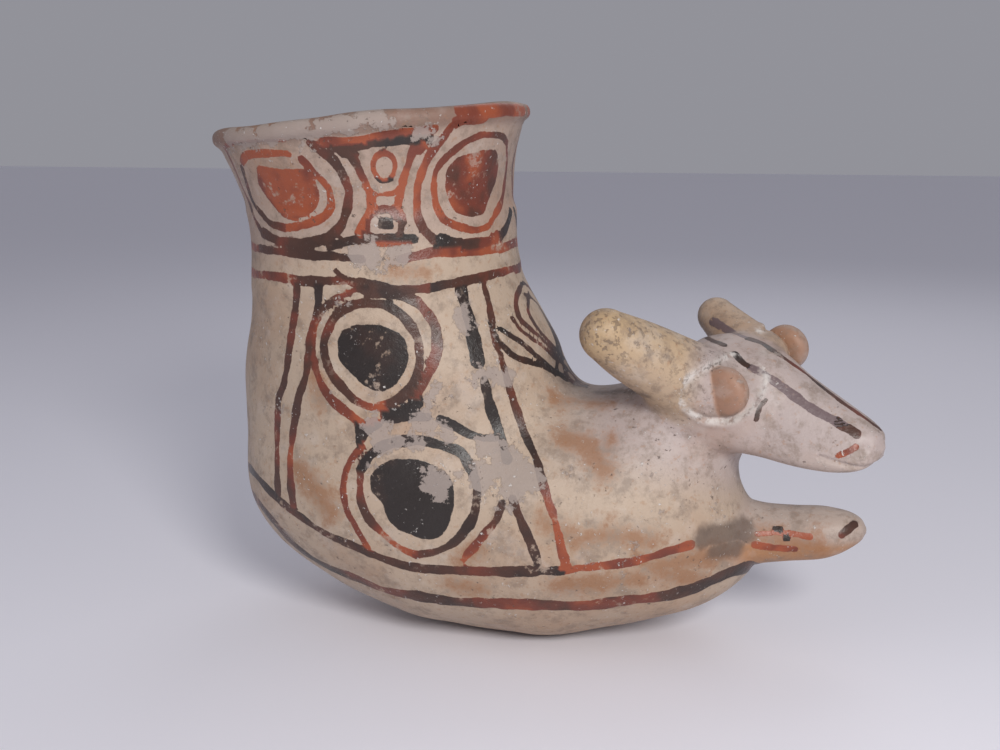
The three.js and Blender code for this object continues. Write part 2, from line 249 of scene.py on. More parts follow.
def hull_field(p):
    """The boat-shaped belly, by its keel, back and half width from the heel to the chest."""
    x = p[..., 0]
    middle, half = (BELLY_HEEL + BELLY_CHEST) / 2, (BELLY_CHEST - BELLY_HEEL) / 2
    turn = np.degrees(np.arccos(np.clip((middle - x) / half, -1, 1)))
    stops = [0, 20, 40, 60, 80, 100, 120, 140, 160, 180]
    keel = curve(turn, stops, [55, 40, 22, 9, 0, -1, 4, 12, 22, 33])
    back = curve(turn, stops, [55, 70, 84, 90, 91, 90, 88, 79, 56, 33])
    wide = curve(turn, stops, [2, 20, 37, 47, 50, 49, 43, 32, 18, 2])
    tall = np.maximum((back - keel) / 2, BELLY_THINNEST)
    up = p[..., 2] - (keel + back) / 2
    return loft(x, p[..., 1], up, BELLY_HEEL, BELLY_CHEST, wide, tall, power=2.05)


def head_field(p):
    """The wedge-shaped head, narrower at the crown than at the jaw."""
    q = (p - HEAD_AT) @ HEAD_AXES
    s = q[..., 0]
    stops = [-30, -25, -12, 0, 15, 30, 40, 44, 46.5]
    wide = curve(s, stops, [5, 14, 20, 20, 16.5, 13, 10.5, 8, 3])
    crown = curve(s, stops, [4, 12, 17.5, 17.5, 13.5, 10, 7.5, 5.5, 1.5])
    jaw = curve(s, stops, [-4, -13, -17, -16.5, -14, -11, -8, -5.5, -2])
    half = (crown - jaw) / 2
    up = q[..., 2] - (crown + jaw) / 2
    lean = 1 - CROWN_NARROWING * np.clip(up / half, -1, 1)
    return loft(s, q[..., 1] / lean, up, stops[0], stops[-1], wide, half, power=2.6)


def leg_field(p):
    """The folded forelegs, one tapered lobe."""
    x = p[..., 0]
    stops = [112, 130, 142, 152, 160, 167, 172, 174.5, 175.6]
    r = curve(x, stops, [15, 12.5, 10, 9, 8.6, 7.2, 5, 3, 1])
    z = curve(x, stops, [41, 41, 41.3, 42, 43, 44, 44.8, 45, 45])
    side = p[..., 1] - LEG_SIDE
    return loft(x, side, p[..., 2] - z, stops[0], stops[-1], r * LEG_FLATNESS, r, power=2.2)


def pellet_place(p, centre):
    """Radius in a pellet's own plane, and distance from that plane."""
    q = (p - centre) @ HEAD_AXES
    return np.sqrt(q[..., 0] ** 2 + q[..., 2] ** 2), q[..., 1]


def eye_moat(p, centre):
    """The groove pressed round a pellet, with the clay raised a little outside it."""
    ring, depth = pellet_place(p, centre)
    groove = MOAT_DEPTH * swell(ring, MOAT_RADIUS, MOAT_WIDTH)
    ridge = RIDGE_HEIGHT * swell(ring, RIDGE_RADIUS, RIDGE_WIDTH)
    return swell(depth, 0, MOAT_REACH) * (groove - ridge)


def eye_field(p, centre):
    """A pellet pressed flat: round at the edge and level in the middle."""
    ring, depth = pellet_place(p, centre)
    a, b = ring / PELLET_RADIUS, np.abs(depth) / PELLET_HALF_THICKNESS
    share = (a ** 3 + b ** 3) ** (1 / 3) + TINY
    return np.sqrt(ring ** 2 + depth ** 2) * (1 - 1 / share)


def nostril(p):
    """The small pit at the end of the muzzle and the shallow mouth line under it."""
    q = (p - HEAD_AT) @ HEAD_AXES
    pit = NOSTRIL_DEPTH * np.exp(-(((q - NOSTRIL_AT) / NOSTRIL_SIZE) ** 2).sum(axis=-1))
    line = swell(q[..., 2], MOUTH_LINE_HEIGHT, MOUTH_LINE_WIDTH) * (q[..., 0] > MOUTH_LINE_BACK)
    return pit + line * MOUTH_LINE_DEPTH


def undulation(p):
    """Low, uneven swells left by the hand."""
    x, y, z = (p[..., k] / SWELL_LENGTHS[k] for k in range(3))
    a = np.sin(x * 2.1 + 1.3 * np.sin(y * 1.7) + z)
    b = np.sin(y * 2.9 - 1.1 * np.sin(z * 2.3) + x * 0.6)
    c = np.sin(z * 3.4 + 1.7 * np.sin(x * 2.6) - y * 1.2)
    return SWELL_HEIGHT * (a + b + c)


def hollow_field(p):
    """The space inside, one wall in from the outside."""
    inside = blend(shaft_field(p), collar_field(p, HOLLOW_TOP), FILLETS["collar"])
    return blend(inside, hull_field(p), FILLETS["hull"]) + WALL


def parts(p):
    """Every component's own field."""
    return {
        "shaft": shaft_field(p),
        "collar": collar_field(p, COLLAR_TOP),
        "rim": rim_field(p),
        "hull": hull_field(p),
        "neck": taper(p, *NECK),
        "forelegs": leg_field(p),
        "head": head_field(p) + nostril(p),
        "ear_right": taper(p, *RIGHT_EAR),
        "ear_left": taper(p, *LEFT_EAR),
        "eye_right": eye_field(p, RIGHT_EYE),
        "eye_left": eye_field(p, LEFT_EYE),
    }


def outer(p, f=None):
    """The outside of the pot, its mouth filled in."""
    f = f or parts(p)
    u = f["shaft"]
    for name, fillet in FILLETS.items():
        u = blend(u, f[name], fillet)
    u = u + undulation(p)
    moat = eye_moat(p, RIGHT_EYE) + eye_moat(p, LEFT_EYE)
    return blend(u + moat, np.minimum(f["eye_right"], f["eye_left"]), PELLET_FILLET)


def whole(p, f=None):
    """The fired pot: the outside less the hollow, cut flat where it rests."""
    pot = np.maximum(outer(p, f), -hollow_field(p) + INNER_SWELLS * undulation(p))
    return np.maximum(pot, -p[..., 2])


# A point inside several parts goes to the one with the largest lead. The vessel counts as lower_body.
LEADS = {"lower_body": 50.0, "forelegs": 20.0, "neck": 10.0, "head": 5.0, "ear_right": 0.0, "ear_left": 0.0}


def labels(p, f, inside):
    """Which piece each point of the clay belongs to."""
    height, out = collar_place(p)
    fields = dict(f, lower_body=np.minimum(np.minimum(f["shaft"], f["collar"]), f["hull"]))
    near = np.stack([fields[name] - lead * (fields[name] < 0) for name, lead in LEADS.items()])
    pick = np.array([LABEL[name] for name in LEADS])[np.argmin(near, axis=0)]
    upright = (pick == LABEL["lower_body"]) & (p[..., 2] > SHAFT_FROM) & (p[..., 0] < SHAFT_FRONT)
    pick = np.where(upright, LABEL["shaft"], pick)
    above = (height > 0) & by_collar(p, out)
    pick = np.where(above, np.where(height > RIM_FROM, LABEL["rim_coil"], LABEL["collar"]), pick)
    for eye in ("eye_right", "eye_left"):
        pick = np.where(f[eye] < 0, LABEL[eye], pick)
    return np.where(inside, pick, AIR).astype(np.int8)


def gradient(field, p, h=0.15):
    """Slope of a field along X, Y and Z."""
    g = np.empty_like(p)
    for k in range(3):
        d = np.zeros(3)
        d[k] = h
        g[:, k] = (field(p + d) - field(p - d)) / (2 * h)
    return g


LEAST_SLOPE = 0.05


def settle(field, p, rounds, most=1.5):
    """Moves points onto the surface of a field, by at most this many mm a round."""
    for _ in range(rounds):
        g = gradient(field, p)
        f = field(p)
        move = -(f / np.maximum((g * g).sum(1), LEAST_SLOPE))[:, None] * g
        size = np.linalg.norm(move, axis=1, keepdims=True)
        p = p + move * np.minimum(1, most / np.maximum(size, TINY))
    return p


# The skin of every piece, with shared points where pieces meet

CORNERS = [(i, j, k) for i in (0, 1) for j in (0, 1) for k in (0, 1)]


def sampled_labels():
    """The label of every point of the grid, worked out slice by slice."""
    axes = [np.arange(GRID_LOW[k], GRID_HIGH[k], STEP) for k in range(3)]
    label = np.full([len(a) for a in axes], AIR, np.int8)
    for i, x in enumerate(axes[0]):
        p = np.stack(np.meshgrid([x], axes[1], axes[2], indexing="ij"), axis=-1)[0]
        f = parts(p)
        label[i] = labels(p, f, whole(p, f) < 0)
    return label


def cell_points(label):
    """One point for each cell whose corners differ, whether it is on the outside, and its number."""
    nx, ny, nz = label.shape
    corners = [label[i:nx - 1 + i, j:ny - 1 + j, k:nz - 1 + k] for i, j, k in CORNERS]
    mixed = np.zeros(corners[0].shape, bool)
    open_air = np.zeros(corners[0].shape, bool)
    for c in corners:
        mixed |= c != corners[0]
        open_air |= c == AIR
    cells = np.argwhere(mixed)
    number = np.full(mixed.shape, -1, np.int64)
    number[mixed] = np.arange(len(cells))
    total = np.zeros((len(cells), 3))
    count = np.zeros(len(cells))
    for a in CORNERS:
        for k in range(3):
            if a[k]:
                continue
            b = tuple(v + (1 if n == k else 0) for n, v in enumerate(a))
            cross = label[tuple((cells + a).T)] != label[tuple((cells + b).T)]
            total[cross] += (np.array(a) + np.array(b)) / 2
            count[cross] += 1
    points = GRID_LOW + STEP * (cells + total / count[:, None])
    return points, open_air[mixed], number


def cell_faces(label, number):
    """A four-sided face across each edge of the grid whose ends differ, and the labels at its ends."""
    quads = []
    sides = []
    for k in range(3):
        u, v = (k + 1) % 3, (k + 2) % 3
        lower = label.take(range(label.shape[k] - 1), axis=k)
        upper = label.take(range(1, label.shape[k]), axis=k)
        at = np.argwhere(lower != upper)
        keep = np.ones(len(at), bool)
        for w in (u, v):
            keep &= (at[:, w] > 0) & (at[:, w] < label.shape[w] - 1)
        at = at[keep]
        ring = []
        for du, dv in ((-1, -1), (0, -1), (0, 0), (-1, 0)):
            c = at.copy()
            c[:, u] += du
            c[:, v] += dv
            ring.append(number[tuple(c.T)])
        quads.append(np.stack(ring, axis=1))
        sides.append(np.stack([lower[tuple(at.T)], upper[tuple(at.T)]], axis=1))
    return np.concatenate(quads), np.concatenate(sides)


def relax(points, skin, quads, sides, rounds):
    """Evens the mesh out along the surface and puts it back on the field."""
    q = quads[(sides == AIR).any(axis=1)]
    a = np.concatenate([q[:, 0], q[:, 1], q[:, 2], q[:, 3]])
    b = np.concatenate([q[:, 1], q[:, 2], q[:, 3], q[:, 0]])
    n = len(points)
    degree = np.bincount(a, minlength=n) + np.bincount(b, minlength=n)
    for _ in range(rounds):
        mean = np.empty_like(points)
        for k in range(3):
            mean[:, k] = np.bincount(a, points[b, k], n) + np.bincount(b, points[a, k], n)
        mean /= np.maximum(degree, 1)[:, None]
        points = np.where((skin & (degree > 0))[:, None], 0.5 * points + 0.5 * mean, points)
        points[skin] = settle(whole, points[skin], rounds=1)
    return points


def build_skin():
    """Points, which of them are on the surface, faces, and the two labels that each face parts."""
    label = sampled_labels()
    points, skin, number = cell_points(label)
    quads, sides = cell_faces(label, number)
    points[skin] = settle(whole, points[skin], rounds=2)
    points = relax(points, skin, quads, sides, rounds=4)
    points[skin] = settle(whole, points[skin], rounds=2)
    return points, skin, quads, sides


# Throwing pixels of the photograph onto the surface

THROW_FROM, THROW_STEPS, THROW_CLOSE = 300.0, 70, 0.05
THROW_SHARE, THROW_BACK, THROW_AHEAD = 0.8, -2, 30
OVAL_POINTS = 60


def rays(pixels):
    """Direction from the camera through each pixel."""
    c, s = math.cos(CAMERA_TURN), math.sin(CAMERA_TURN)
    right = np.array([c, s, 0.0])
    level = np.array([-s, c, 0.0])
    ahead = level * math.cos(CAMERA_NOD) - np.array([0, 0, math.sin(CAMERA_NOD)])
    up = level * math.sin(CAMERA_NOD) + np.array([0, 0, math.cos(CAMERA_NOD)])
    focus = LENS / SENSOR * IMAGE[0]
    x = (pixels[:, 0] - IMAGE[0] / 2) / focus
    y = (IMAGE[1] / 2 - pixels[:, 1]) / focus
    d = ahead + x[:, None] * right + y[:, None] * up
    return d / np.linalg.norm(d, axis=1, keepdims=True)


def thrown(pixels):
    """Points of the surface seen at these pixels. A ray that misses takes its nearest point."""
    d = rays(pixels)
    t = np.full(len(d), THROW_FROM)
    best = np.full(len(d), np.inf)
    best_t = t.copy()
    for _ in range(THROW_STEPS):
        f = outer(CAMERA_AT + t[:, None] * d)
        closer = np.abs(f) < best
        best = np.where(closer, np.abs(f), best)
        best_t = np.where(closer, t, best_t)
        t = t + np.where(best < THROW_CLOSE, 0, np.clip(f * THROW_SHARE, THROW_BACK, THROW_AHEAD))
    return settle(outer, CAMERA_AT + best_t[:, None] * d, rounds=4)


def spread(points, spacing, looped=False):
    """Even points along a smooth line through the given ones."""
    p = np.asarray(points, float)
    if looped:
        p = np.concatenate([p, p[:1]])
    run = np.concatenate([[0], np.cumsum(np.linalg.norm(np.diff(p, axis=0), axis=1))])
    at = np.linspace(0, run[-1], max(2, int(run[-1] / spacing) + 1))
    return np.stack([curve(at, run, p[:, 0]), curve(at, run, p[:, 1])], axis=1)


def oval(x, y, wide, tall):
    """Pixels round an upright oval."""
    turn = np.radians(np.linspace(0, 360, OVAL_POINTS))
    return np.stack([x + wide * np.cos(turn), y + tall * np.sin(turn)], axis=1)


# The painted decoration, as centre lines and outlines in the photograph's pixels

PURPLE, BLACK, BROWN, OXBLOOD, RED = -1.0, 0.0, 0.3, 0.65, 1.0

# Name, tone at the start and at the end, brush width, centre line
STROKES = [
    ("left_ring_top", OXBLOOD, RED, 7, [(242, 162), (245, 156), (255, 154), (270, 153), (288, 154)]),
    ("left_ring_right", OXBLOOD, RED, 7, [
        (302, 160), (312, 170), (322, 180), (330, 192), (331, 205), (327, 214), (315, 221), (300, 226),
        (285, 228),
    ]),
    ("left_ring_left", OXBLOOD, BROWN, 6, [
        (285, 228), (272, 224), (260, 212), (252, 200), (247, 185), (242, 168),
    ]),
    ("left_outer_top", OXBLOOD, OXBLOOD, 4, [(224, 148), (232, 143), (252, 141), (285, 140)]),
    ("left_outer_side", OXBLOOD, OXBLOOD, 5, [
        (226, 150), (235, 170), (242, 187), (250, 205), (255, 220), (262, 232),
    ]),
    ("left_outer_foot", OXBLOOD, BROWN, 8, [
        (262, 232), (277, 240), (297, 243), (312, 242), (330, 236), (341, 225), (347, 210),
    ]),
    ("left_outer_right", BROWN, BROWN, 8, [
        (347, 210), (349, 192), (345, 180), (335, 162), (322, 152), (311, 143),
    ]),
    ("bar_upper", OXBLOOD, RED, 9, [(324, 142), (345, 142), (370, 139), (400, 134), (434, 129)]),
    ("bar_lower", BROWN, BLACK, 7, [(332, 148), (350, 148), (375, 143), (405, 140), (430, 139)]),
    ("arm_left_head", BROWN, BROWN, 13, [(344, 150), (352, 156)]),
    ("arm_left", BROWN, OXBLOOD, 7, [(350, 154), (358, 168), (366, 184), (371, 196)]),
    ("arm_left_foot", RED, RED, 6, [(371, 196), (371, 207), (366, 218), (358, 232)]),
    ("arm_right_head", RED, OXBLOOD, 11, [(424, 142), (417, 149)]),
    ("arm_right", OXBLOOD, RED, 7, [(414, 148), (409, 163), (404, 178), (401, 192)]),
    ("arm_right_foot", RED, BROWN, 6, [(401, 192), (398, 205), (402, 218), (400, 234)]),
    ("small_ring", RED, RED, 4, oval(384, 166, 11, 13)),
    ("small_ring_foot", BLACK, BLACK, 4, [(377, 178), (384, 181), (391, 179)]),
    ("cup", OXBLOOD, RED, 5, [(364, 186), (376, 194), (390, 194), (402, 187)]),
    ("arch", BROWN, BROWN, 7, [(366, 234), (367, 221), (376, 212), (386, 209), (396, 213), (402, 222)]),
    ("motif_base", BROWN, BLACK, 8, [(330, 247), (345, 242), (365, 239), (385, 238), (415, 239)]),
    ("motif_base_red", RED, RED, 4, [(378, 244), (396, 244), (410, 243)]),
    ("right_ring", OXBLOOD, RED, 6, [
        (507, 143), (502, 136), (485, 135), (470, 140), (455, 150), (442, 162), (435, 175), (434, 192),
        (437, 207), (445, 220), (457, 226),
    ]),
    ("right_ring_back", RED, OXBLOOD, 6, [
        (457, 226), (475, 230), (487, 227), (495, 215), (502, 200), (505, 180), (507, 160), (507, 143),
    ]),
    ("right_outer_top", RED, RED, 12, [(484, 117), (468, 119), (454, 124)]),
    ("right_outer", RED, OXBLOOD, 7, [
        (452, 125), (443, 138), (431, 153), (422, 172), (417, 192), (417, 210), (422, 227), (433, 239),
    ]),
    ("right_outer_foot", BLACK, OXBLOOD, 14, [(438, 241), (452, 244), (470, 246), (487, 244), (500, 238)]),
    ("right_outer_back", BROWN, BLACK, 9, [(500, 238), (507, 226), (511, 212)]),
    ("rim_red", RED, RED, 13, [(462, 111), (485, 110), (505, 109), (524, 110)]),
    ("waist_upper_left", OXBLOOD, BROWN, 7, [(256, 248), (275, 251), (300, 254), (325, 256), (362, 259)]),
    ("waist_upper_right", OXBLOOD, RED, 8, [
        (400, 259), (420, 255), (440, 252), (462, 252), (500, 249), (512, 244),
    ]),
    ("waist_lower", OXBLOOD, BROWN, 8, [
        (255, 274), (280, 277), (305, 281), (335, 281), (365, 284), (400, 290), (430, 288),
    ]),
    ("waist_lower_right", BLACK, OXBLOOD, 8, [(430, 288), (465, 281), (487, 276), (520, 267)]),
    ("waist_tick", BROWN, BROWN, 5, [(335, 270), (340, 275), (352, 280)]),
    ("waist_vee", BROWN, OXBLOOD, 5, [(366, 286), (352, 291), (340, 296)]),
    ("flank_left_outer", BROWN, OXBLOOD, 8, [
        (297, 283), (296, 302), (290, 343), (284, 382), (278, 402), (277, 446), (277, 476), (278, 493),
    ]),
    ("flank_left_inner", BROWN, OXBLOOD, 8, [
        (319, 285), (318, 305), (311, 338), (305, 379), (299, 396), (293, 432), (290, 461), (291, 488),
        (293, 505),
    ]),
    ("upper_ring", BROWN, BROWN, 8, [
        (325, 358), (324, 344), (331, 323), (346, 308), (364, 303), (381, 304), (396, 311), (411, 326),
        (419, 344), (420, 361), (414, 382), (402, 396), (387, 405),
    ]),
    ("upper_ring_foot", OXBLOOD, BROWN, 8, [
        (387, 405), (372, 407), (358, 402), (343, 388), (331, 373), (325, 358),
    ]),
    ("upper_outer_left", BROWN, OXBLOOD, 7, [
        (366, 286), (352, 291), (334, 300), (319, 315), (312, 338), (313, 358),
    ]),
    ("upper_outer_foot", OXBLOOD, RED, 8, [
        (313, 358), (319, 379), (331, 399), (349, 414), (363, 423), (376, 421),
    ]),
    ("upper_outer_right", BROWN, OXBLOOD, 9, [
        (360, 289), (375, 293), (393, 293), (411, 298), (425, 311), (436, 329), (437, 346), (431, 367),
        (422, 385), (416, 397),
    ]),
    ("filler_right", BLACK, BLACK, 12, [(418, 402), (408, 410), (396, 414), (386, 416)]),
    ("filler_right_foot", BLACK, BLACK, 8, [(428, 417), (410, 417), (392, 418)]),
    ("filler_left", BLACK, BLACK, 9, [(378, 424), (366, 430), (361, 438)]),
    ("filler_left_edge", BLACK, BLACK, 6, [(358, 425), (359, 436), (359, 444)]),
    ("filler_stroke", BLACK, BLACK, 7, [(440, 419), (455, 426), (472, 435), (490, 438), (502, 435)]),
    ("lower_ring", BLACK, BLACK, 9, [
        (361, 470), (368, 458), (380, 448), (396, 442), (416, 440), (440, 445), (461, 453), (472, 470),
    ]),
    ("lower_ring_right", BLACK, OXBLOOD, 8, [
        (472, 470), (477, 491), (475, 511), (466, 529), (452, 544), (434, 552), (416, 555),
    ]),
    ("lower_ring_left", RED, BROWN, 7, [
        (416, 555), (402, 549), (384, 535), (366, 514), (360, 494), (360, 474),
    ]),
    ("lower_outer_left", OXBLOOD, RED, 6, [
        (362, 446), (349, 464), (343, 488), (346, 508), (355, 526), (368, 548),
    ]),
    ("lower_outer_right", BROWN, RED, 7, [(502, 503), (496, 520), (487, 532), (475, 546), (463, 560)]),
    ("panel_right_top", BLACK, BLACK, 12, [(460, 286), (466, 308), (472, 329), (478, 361)]),
    ("panel_right_middle", BLACK, BLACK, 9, [(484, 380), (490, 405), (499, 432), (503, 442), (507, 460)]),
    ("panel_right_foot", BROWN, BLACK, 8, [(513, 500), (522, 523), (531, 544), (541, 571)]),
    ("panel_outer", BROWN, BROWN, 7, [
        (484, 286), (490, 308), (493, 332), (502, 361), (508, 382), (516, 408), (525, 435),
    ]),
    ("panel_outer_foot", BROWN, OXBLOOD, 7, [
        (525, 435), (537, 461), (546, 494), (555, 520), (561, 546), (567, 567),
    ]),
    ("fan_a", BROWN, BROWN, 6, [
        (522, 284), (516, 301), (519, 317), (531, 329), (549, 346), (566, 367), (585, 387),
    ]),
    ("fan_b", BROWN, BROWN, 5, [(529, 292), (528, 308), (534, 323), (549, 341), (568, 362)]),
    ("fan_c", BLACK, BROWN, 6, [(490, 323), (499, 341), (516, 357), (537, 364), (558, 373), (580, 385)]),
    ("fan_d", BLACK, BROWN, 6, [(500, 329), (522, 343), (546, 364), (566, 379)]),
    ("fan_e", BROWN, BROWN, 5, [(512, 318), (522, 331), (540, 344), (560, 362)]),
    ("band_upper", BROWN, BROWN, 9, [
        (247, 464), (264, 485), (281, 502), (305, 520), (328, 535), (358, 548), (387, 560), (411, 567),
        (446, 570), (475, 571),
    ]),
    ("band_upper_middle", BROWN, BLACK, 10, [(475, 571), (505, 572), (534, 571), (562, 571)]),
    ("band_upper_right", RED, OXBLOOD, 8, [
        (562, 570), (590, 567), (618, 564), (640, 560), (669, 551), (691, 545),
    ]),
    ("band_lower", BROWN, BROWN, 13, [
        (252, 494), (274, 522), (299, 549), (328, 567), (358, 579), (387, 591), (416, 596), (446, 601),
        (475, 603),
    ]),
    ("band_lower_right", OXBLOOD, BROWN, 14, [
        (475, 603), (534, 605), (580, 606), (625, 601), (665, 596), (690, 590), (715, 579), (735, 571),
        (756, 565),
    ]),
]

# Name, tone, outline
BLOBS = [
    ("left_oval", OXBLOOD, [
        (259, 168), (280, 172), (309, 172), (313, 183), (317, 195), (314, 206), (304, 213), (290, 216),
        (278, 207), (267, 194), (260, 182),
    ]),
    ("right_oval", OXBLOOD, [
        (458, 161), (470, 156), (485, 153), (494, 153), (497, 163), (495, 178), (490, 191), (485, 203),
        (480, 212), (470, 213), (458, 210), (451, 199), (448, 186), (449, 174),
    ]),
    ("upper_disc", BLACK, [
        (345, 333), (358, 328), (375, 328), (392, 333), (403, 342), (405, 358), (400, 372), (392, 383),
        (380, 389), (367, 384), (359, 377), (348, 366), (341, 355), (341, 344),
    ]),
    ("lower_disc", BLACK, [
        (373, 477), (382, 468), (396, 462), (415, 463), (433, 468), (445, 475), (450, 488), (451, 502),
        (447, 519), (438, 534), (428, 537), (414, 533), (401, 528), (391, 518), (385, 501), (374, 490),
    ]),
    ("arch_dot", BLACK, [(380, 226), (381, 222), (385, 220), (390, 222), (391, 226)]),
]

# Strokes on the head and the foreleg, which the far side doesn't repeat
FACE_STROKES = [
    ("nose_right_root", BROWN, BROWN, 6, [(735, 354), (742, 362), (750, 367)]),
    ("nose_right", PURPLE, PURPLE, 8, [
        (750, 367), (768, 377), (785, 389), (800, 400), (811, 408), (834, 420), (845, 426),
    ]),
    ("nose_right_tip", BROWN, BROWN, 8, [(836, 421), (848, 428), (857, 434)]),
    ("nose_short", BROWN, BROWN, 6, [(700, 334), (712, 340), (724, 345)]),
    ("nose_left_root", PURPLE, PURPLE, 7, [(712, 321), (730, 331), (748, 338)]),
    ("nose_left", BROWN, BROWN, 9, [(748, 338), (762, 343), (774, 351)]),
    ("nose_left_tip", BROWN, BROWN, 5, [
        (774, 351), (790, 362), (803, 371), (819, 384), (841, 401), (864, 417), (880, 429),
    ]),
    ("brow_spot", BROWN, BROWN, 4, [(756, 420), (760, 407), (766, 400)]),
    ("muzzle_spots", OXBLOOD, OXBLOOD, 5, [(838, 456), (847, 452), (856, 447)]),
    ("leg_dark_spot", BLACK, BLACK, 11, [(775, 532), (788, 534)]),
    ("leg_stripe", RED, RED, 5, [(757, 534), (772, 533), (795, 534), (810, 537)]),
    ("leg_stripe_low", RED, OXBLOOD, 6, [(755, 545), (775, 548), (795, 549)]),
    ("leg_tip", OXBLOOD, BROWN, 6, [(842, 535), (850, 528), (855, 524)]),
]

# Crusts, stains, and soot with a painted shadow: half width, centre line
PATCHES = [
    (8, [(362, 256), (380, 254), (402, 254)]),
    (14, [(488, 474), (505, 470), (524, 478)]),
    (13, [(488, 450), (500, 460), (512, 490)]),
    (9, [(480, 372), (492, 376), (506, 372)]),
    (9, [(434, 480), (440, 488)]),
    (6, [(424, 420), (436, 428), (448, 440)]),
    (6, [(384, 446), (400, 446), (414, 446)]),
    (7, [(466, 306), (464, 322)]),
    (7, [(372, 424), (381, 424)]),
    (11, [(232, 138), (262, 133), (300, 130)]),
    (7, [(320, 128), (350, 122), (384, 119)]),
    (6, [(420, 130), (432, 132)]),
    (9, [(432, 395), (440, 390)]),
]
STAINS = [
    (12, [(568, 440), (590, 446), (604, 470)]),
    (8, [(544, 520), (560, 532), (580, 540)]),
    (9, [(580, 540), (606, 536), (650, 542)]),
    (9, [(560, 586), (600, 584), (640, 578)]),
    (12, [(660, 566), (690, 560), (720, 556)]),
    (9, [(640, 560), (670, 574), (700, 580)]),
    (12, [(300, 470), (316, 490), (330, 510)]),
    (9, [(316, 380), (322, 400)]),
    (8, [(556, 400), (580, 402), (600, 404)]),
    (10, [(760, 534), (790, 540), (816, 544)]),
    (6, [(460, 560), (480, 548)]),
    (8, [(452, 584), (480, 590)]),
    (7, [(395, 270), (420, 272)]),
    (6, [(610, 440), (606, 452)]),
]
SOOT_AND_SHADE_PATCHES = [
    (13, [(704, 538), (722, 534), (744, 530)]),
    (9, [(714, 552), (736, 548)]),
    # A painted shadow along the top of the neck, under the near ear
    (4, [(600, 392), (625, 391), (645, 396)]),
]
MARKS = {"patch": PATCHES, "stain": STAINS, "soot_and_shade": SOOT_AND_SHADE_PATCHES}

# How paint and marks are laid on: spacings in pixels, then lengths in mm
STROKE_SPACING = 1.6
MARK_SPACING = 2.5
FILL_SPACING = 2.2
FILL_HALF = 1.1
BRIDGE_SPACING = 0.8
BRIDGE_REACH = 6.0
FAR = 9.0

# Outlines, as shares of the whole one, that fill a blob
FILL_RINGS = (1.0, 0.88, 0.76, 0.64, 0.52, 0.4, 0.28, 0.16, 0.05)

# Bands whose first or last end is carried round to the far side, and the upright axis that it turns about
CARRIED_BACK = {"waist_upper_left": 0.0, "waist_lower": 0.0, "band_upper": 0.0, "band_lower": 0.0}
CARRIED_FRONT = {"waist_upper_right": 0.0, "waist_lower_right": 0.0, "band_lower_right": 100.0}


def inside_outline(outline):
    """Pixels that fill an outline, for dabs of paint."""
    edge = spread(outline, FILL_SPACING, looped=True)
    middle = edge.mean(axis=0)
    return np.concatenate([middle + (edge - middle) * share for share in FILL_RINGS])


def bridged(points, centre):
    """Carries a band's end round an upright axis to its mirror image on the far side."""
    end = points[-1]
    start = math.atan2(end[1], end[0] - centre)
    radius = math.hypot(end[1], end[0] - centre)
    goal = -math.copysign(2 * math.pi, -start) - start if abs(start) > math.pi / 2 else -start
    angle = np.linspace(start, goal, max(2, int(abs(goal - start) * radius / BRIDGE_SPACING)))
    level = np.full(len(angle), end[2])
    line = np.stack([centre + radius * np.cos(angle), radius * np.sin(angle), level], axis=1)
    return settle(outer, line, rounds=5, most=BRIDGE_REACH)


def brush_halves(name, width, count):
    """Half widths along a stroke, in mm, which swell and thin a little as a brush does."""
    run = np.arange(count)
    uneven = 1 + 0.12 * np.sin(run * 0.13 + len(name)) + 0.07 * np.sin(run * 0.41)
    return BRUSH * width * PIXEL / 2 * uneven


def paint_points():
    """Surface points of all strokes: place, half width in mm, tone. The far side mirrors the near one."""
    places, halves, tones = [], [], []

    def put(p, half, tone):
        places.append(p)
        halves.append(np.broadcast_to(half, len(p)))
        tones.append(np.broadcast_to(tone, len(p)))

    def put_on_both(p, half, tone):
        put(p, half, tone)
        put(settle(outer, p * np.array([1, -1, 1]), rounds=3), half, tone)

    faces = {row[0] for row in FACE_STROKES}
    for name, first, last, width, line in STROKES + FACE_STROKES:
        p = thrown(spread(line, STROKE_SPACING))
        lay = put if name in faces else put_on_both
        lay(p, brush_halves(name, width, len(p)), np.linspace(first, last, len(p)))
        if name in CARRIED_BACK:
            put(bridged(p[::-1], CARRIED_BACK[name]), BRUSH * width * PIXEL / 2, first)
        if name in CARRIED_FRONT:
            put(bridged(p, CARRIED_FRONT[name]), BRUSH * width * PIXEL / 2, last)
    for name, tone, outline in BLOBS:
        put_on_both(thrown(inside_outline(outline)), FILL_HALF, tone)
    return np.concatenate(places), np.concatenate(halves), np.concatenate(tones)


def mark_points(rows):
    """Surface points of crusts, stains, soot and painted shade, and their half widths in mm. The far side
    has none.
    """
    lines = [thrown(spread(line, MARK_SPACING)) for _, line in rows]
    halves = [np.full(len(p), width * PIXEL) for (width, _), p in zip(rows, lines)]
    return np.concatenate(lines), np.concatenate(halves)


def nearest(places, points):
    """The nearest place to each point, and how far away it is."""
    tree = kdtree.KDTree(len(places))
    for i, p in enumerate(places):
        tree.insert(p, i)
    tree.balance()
    found = np.empty(len(points), int)
    away = np.empty(len(points))
    for i, p in enumerate(points):
        _, found[i], away[i] = tree.find(p)
    return found, away


def distance_from(marks, p, outside):
    """Distance past the edge of the nearest mark, and which mark it is. The hollow has none."""
    places, halves = marks
    distance = np.full(len(p), FAR)
    found, away = nearest(places, p[outside])
    distance[outside] = away - halves[found]
    return distance, found


def smooth_step(low, high, value):
    """Nothing at low, one at high, and smooth between them, whichever is the larger."""
    t = np.clip((value - low) / (high - low), 0, 1)
    return t * t * (3 - 2 * t)


# Colours of the slip and the clay, before stains

